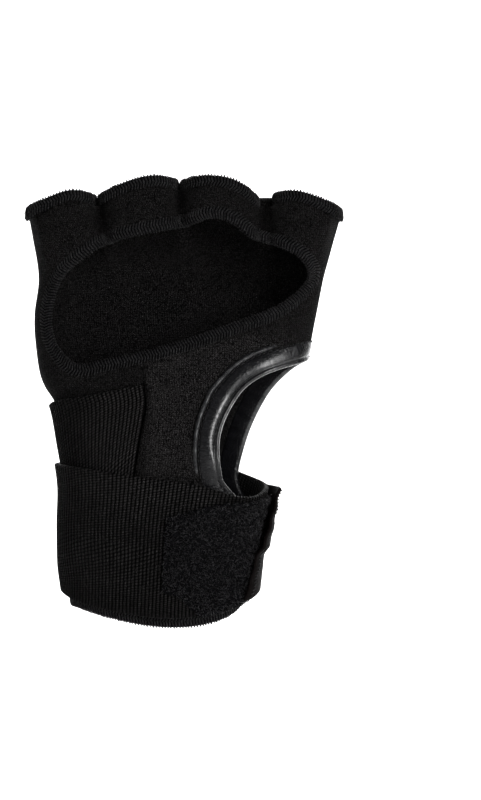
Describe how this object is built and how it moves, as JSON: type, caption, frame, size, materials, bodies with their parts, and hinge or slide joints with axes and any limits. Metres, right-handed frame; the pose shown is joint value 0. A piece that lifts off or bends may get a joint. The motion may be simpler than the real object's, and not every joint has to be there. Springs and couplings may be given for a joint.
{
  "type": "boxing inner glove",
  "caption": "Stretch inner glove worn under boxing gloves: open finger loops, palm cut-out, leather-faced thumb hole and an elastic wrist strap closed by a hook tab.",
  "frame": {"origin": "middle of the wrist opening, where the arm goes in", "axes": "+Z from the wrist to the fingers, -Y out of the palm, +X towards the thumb side"},
  "size_m": [0.1079, 0.0499, 0.1514],
  "materials": {
    "cloth": "matt fine knit",
    "thread": "overlocked thread",
    "elastic": "ribbed elastic knit",
    "pile": "fuzzy loop pile",
    "leather": "glossy grained",
    "piping": "glossy",
    "tape": "smooth woven"
  },
  "bodies": {
    "root": {"palm_panel": "cloth", "back_panel": "cloth", "loop_hem_little": "thread", "loop_hem_ring": "thread", "loop_hem_middle": "thread", "loop_hem_index": "thread", "web_gusset_1": "cloth", "web_gusset_2": "cloth", "web_gusset_3": "cloth", "palm_hem": "thread", "thumb_facing": "leather", "thumb_piping": "piping", "cuff_hem": "thread", "elastic_strap": "elastic", "loop_patch": "pile", "hook_tab": "tape"}
  },
  "joints": []
}
